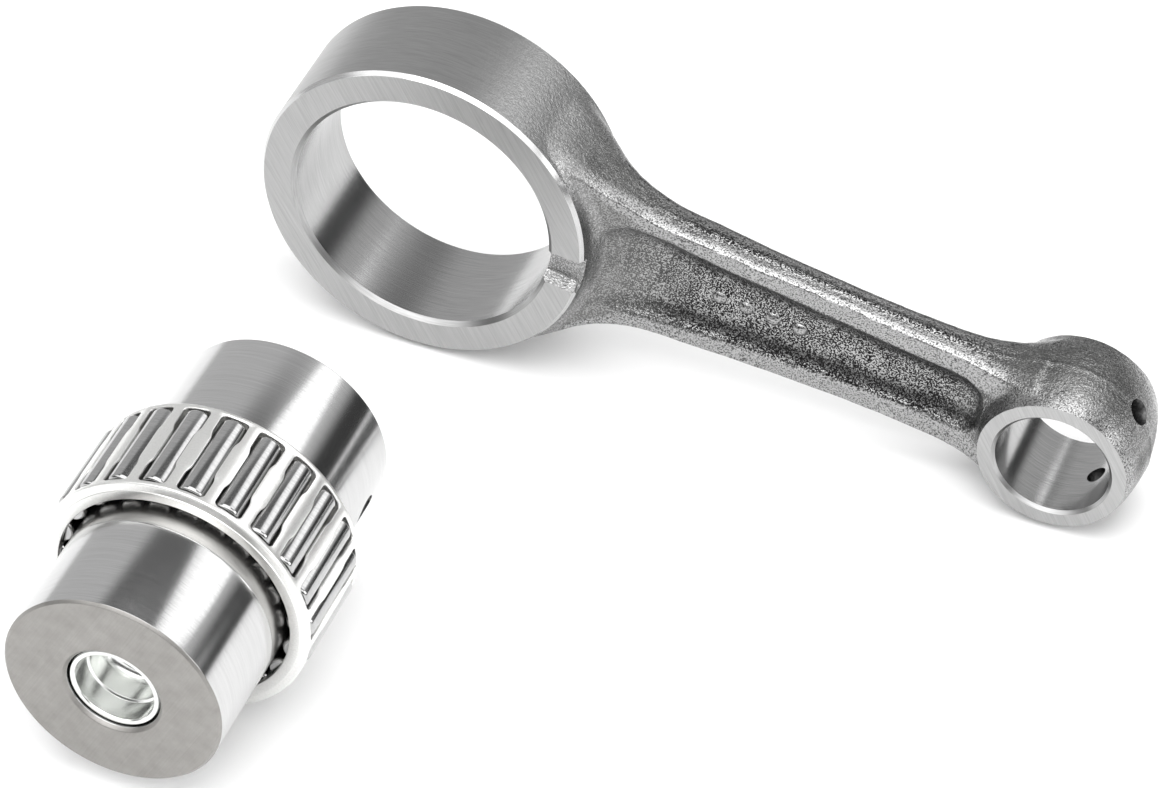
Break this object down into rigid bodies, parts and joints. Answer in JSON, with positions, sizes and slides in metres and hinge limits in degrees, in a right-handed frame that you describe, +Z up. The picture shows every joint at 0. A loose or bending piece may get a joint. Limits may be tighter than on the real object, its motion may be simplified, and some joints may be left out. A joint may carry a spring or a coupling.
{
  "type": "connecting rod kit",
  "caption": "One-piece forged connecting rod with its hollow crank pin, end cup plugs and caged needle bearing; the pin and bearing slide into the big-end bore.",
  "frame": {"origin": "bottom centre of the bounding box, on the surface the kit stands on", "axes": "+X from the big end towards the small end, +Y along the crank pin axis from its near end towards the rod, tilted up by 3.8 degrees, +Z up"},
  "size_m": [0.1428, 0.1304, 0.055],
  "materials": {
    "forged_steel": "shot-blasted forging, ground faces",
    "ground_steel": "ground and polished",
    "zinc_plate": "bright zinc plate",
    "silver_plate": "satin silver plate",
    "roller_steel": "polished bearing steel"
  },
  "bodies": {
    "rod": {"connecting_rod": "forged_steel"},
    "cage": {"bearing_cage": "silver_plate"},
    "pin": {"crank_pin": "ground_steel", "near_cup_plug": "zinc_plate", "far_cup_plug": "zinc_plate"},
    "roller_01": {"roller_01": "roller_steel"},
    "roller_02": {"roller_02": "roller_steel"},
    "roller_03": {"roller_03": "roller_steel"},
    "roller_04": {"roller_04": "roller_steel"},
    "roller_05": {"roller_05": "roller_steel"},
    "roller_06": {"roller_06": "roller_steel"},
    "roller_07": {"roller_07": "roller_steel"},
    "roller_08": {"roller_08": "roller_steel"},
    "roller_09": {"roller_09": "roller_steel"},
    "roller_10": {"roller_10": "roller_steel"},
    "roller_11": {"roller_11": "roller_steel"},
    "roller_12": {"roller_12": "roller_steel"},
    "roller_13": {"roller_13": "roller_steel"},
    "roller_14": {"roller_14": "roller_steel"},
    "roller_15": {"roller_15": "roller_steel"},
    "roller_16": {"roller_16": "roller_steel"},
    "roller_17": {"roller_17": "roller_steel"},
    "roller_18": {"roller_18": "roller_steel"},
    "roller_19": {"roller_19": "roller_steel"},
    "roller_20": {"roller_20": "roller_steel"},
    "roller_21": {"roller_21": "roller_steel"},
    "roller_22": {"roller_22": "roller_steel"}
  },
  "joints": [
    {"name": "bearing_insertion", "type": "slide", "parent": "rod", "child": "cage", "axis": [0, 0.9978, 0.0664], "range_m": [0, 0.0896]},
    {"name": "crank_pin_spin", "type": "hinge", "parent": "cage", "child": "pin", "pos_m": [-0.04459, -0.0352, 0.02177], "axis": [0, 0.9978, 0.0664], "continuous": true},
    {"name": "roller_01_spin", "type": "hinge", "parent": "cage", "child": "roller_01", "pos_m": [-0.02584, -0.03523, 0.02224], "axis": [0, 0.9978, 0.0664], "continuous": true},
    {"name": "roller_02_spin", "type": "hinge", "parent": "cage", "child": "roller_02", "pos_m": [-0.02674, -0.03558, 0.02749], "axis": [0, 0.9978, 0.0664], "continuous": true},
    {"name": "roller_03_spin", "type": "hinge", "parent": "cage", "child": "roller_03", "pos_m": [-0.02908, -0.0359, 0.03228], "axis": [0, 0.9978, 0.0664], "continuous": true},
    {"name": "roller_04_spin", "type": "hinge", "parent": "cage", "child": "roller_04", "pos_m": [-0.03267, -0.03616, 0.03621], "axis": [0, 0.9978, 0.0664], "continuous": true},
    {"name": "roller_05_spin", "type": "hinge", "parent": "cage", "child": "roller_05", "pos_m": [-0.03723, -0.03634, 0.03898], "axis": [0, 0.9978, 0.0664], "continuous": true},
    {"name": "roller_06_spin", "type": "hinge", "parent": "cage", "child": "roller_06", "pos_m": [-0.04239, -0.03643, 0.04035], "axis": [0, 0.9978, 0.0664], "continuous": true},
    {"name": "roller_07_spin", "type": "hinge", "parent": "cage", "child": "roller_07", "pos_m": [-0.04772, -0.03642, 0.04022], "axis": [0, 0.9978, 0.0664], "continuous": true},
    {"name": "roller_08_spin", "type": "hinge", "parent": "cage", "child": "roller_08", "pos_m": [-0.05281, -0.03632, 0.03859], "axis": [0, 0.9978, 0.0664], "continuous": true},
    {"name": "roller_09_spin", "type": "hinge", "parent": "cage", "child": "roller_09", "pos_m": [-0.05722, -0.03612, 0.0356], "axis": [0, 0.9978, 0.0664], "continuous": true},
    {"name": "roller_10_spin", "type": "hinge", "parent": "cage", "child": "roller_10", "pos_m": [-0.06061, -0.03584, 0.03149], "axis": [0, 0.9978, 0.0664], "continuous": true},
    {"name": "roller_11_spin", "type": "hinge", "parent": "cage", "child": "roller_11", "pos_m": [-0.06271, -0.03552, 0.02659], "axis": [0, 0.9978, 0.0664], "continuous": true},
    {"name": "roller_12_spin", "type": "hinge", "parent": "cage", "child": "roller_12", "pos_m": [-0.06333, -0.03517, 0.0213], "axis": [0, 0.9978, 0.0664], "continuous": true},
    {"name": "roller_13_spin", "type": "hinge", "parent": "cage", "child": "roller_13", "pos_m": [-0.06244, -0.03482, 0.01605], "axis": [0, 0.9978, 0.0664], "continuous": true},
    {"name": "roller_14_spin", "type": "hinge", "parent": "cage", "child": "roller_14", "pos_m": [-0.0601, -0.0345, 0.01126], "axis": [0, 0.9978, 0.0664], "continuous": true},
    {"name": "roller_15_spin", "type": "hinge", "parent": "cage", "child": "roller_15", "pos_m": [-0.05651, -0.03424, 0.00733], "axis": [0, 0.9978, 0.0664], "continuous": true},
    {"name": "roller_16_spin", "type": "hinge", "parent": "cage", "child": "roller_16", "pos_m": [-0.05195, -0.03405, 0.00456], "axis": [0, 0.9978, 0.0664], "continuous": true},
    {"name": "roller_17_spin", "type": "hinge", "parent": "cage", "child": "roller_17", "pos_m": [-0.04679, -0.03396, 0.00319], "axis": [0, 0.9978, 0.0664], "continuous": true},
    {"name": "roller_18_spin", "type": "hinge", "parent": "cage", "child": "roller_18", "pos_m": [-0.04145, -0.03397, 0.00333], "axis": [0, 0.9978, 0.0664], "continuous": true},
    {"name": "roller_19_spin", "type": "hinge", "parent": "cage", "child": "roller_19", "pos_m": [-0.03637, -0.03408, 0.00496], "axis": [0, 0.9978, 0.0664], "continuous": true},
    {"name": "roller_20_spin", "type": "hinge", "parent": "cage", "child": "roller_20", "pos_m": [-0.03196, -0.03428, 0.00795], "axis": [0, 0.9978, 0.0664], "continuous": true},
    {"name": "roller_21_spin", "type": "hinge", "parent": "cage", "child": "roller_21", "pos_m": [-0.02857, -0.03455, 0.01206], "axis": [0, 0.9978, 0.0664], "continuous": true},
    {"name": "roller_22_spin", "type": "hinge", "parent": "cage", "child": "roller_22", "pos_m": [-0.02647, -0.03488, 0.01696], "axis": [0, 0.9978, 0.0664], "continuous": true}
  ],
  "couplings": [
    {"joint": "roller_01_spin", "follows": "crank_pin_spin", "ratio": -7.3333},
    {"joint": "roller_02_spin", "follows": "crank_pin_spin", "ratio": -7.3333},
    {"joint": "roller_03_spin", "follows": "crank_pin_spin", "ratio": -7.3333},
    {"joint": "roller_04_spin", "follows": "crank_pin_spin", "ratio": -7.3333},
    {"joint": "roller_05_spin", "follows": "crank_pin_spin", "ratio": -7.3333},
    {"joint": "roller_06_spin", "follows": "crank_pin_spin", "ratio": -7.3333},
    {"joint": "roller_07_spin", "follows": "crank_pin_spin", "ratio": -7.3333},
    {"joint": "roller_08_spin", "follows": "crank_pin_spin", "ratio": -7.3333},
    {"joint": "roller_09_spin", "follows": "crank_pin_spin", "ratio": -7.3333},
    {"joint": "roller_10_spin", "follows": "crank_pin_spin", "ratio": -7.3333},
    {"joint": "roller_11_spin", "follows": "crank_pin_spin", "ratio": -7.3333},
    {"joint": "roller_12_spin", "follows": "crank_pin_spin", "ratio": -7.3333},
    {"joint": "roller_13_spin", "follows": "crank_pin_spin", "ratio": -7.3333},
    {"joint": "roller_14_spin", "follows": "crank_pin_spin", "ratio": -7.3333},
    {"joint": "roller_15_spin", "follows": "crank_pin_spin", "ratio": -7.3333},
    {"joint": "roller_16_spin", "follows": "crank_pin_spin", "ratio": -7.3333},
    {"joint": "roller_17_spin", "follows": "crank_pin_spin", "ratio": -7.3333},
    {"joint": "roller_18_spin", "follows": "crank_pin_spin", "ratio": -7.3333},
    {"joint": "roller_19_spin", "follows": "crank_pin_spin", "ratio": -7.3333},
    {"joint": "roller_20_spin", "follows": "crank_pin_spin", "ratio": -7.3333},
    {"joint": "roller_21_spin", "follows": "crank_pin_spin", "ratio": -7.3333},
    {"joint": "roller_22_spin", "follows": "crank_pin_spin", "ratio": -7.3333}
  ]
}
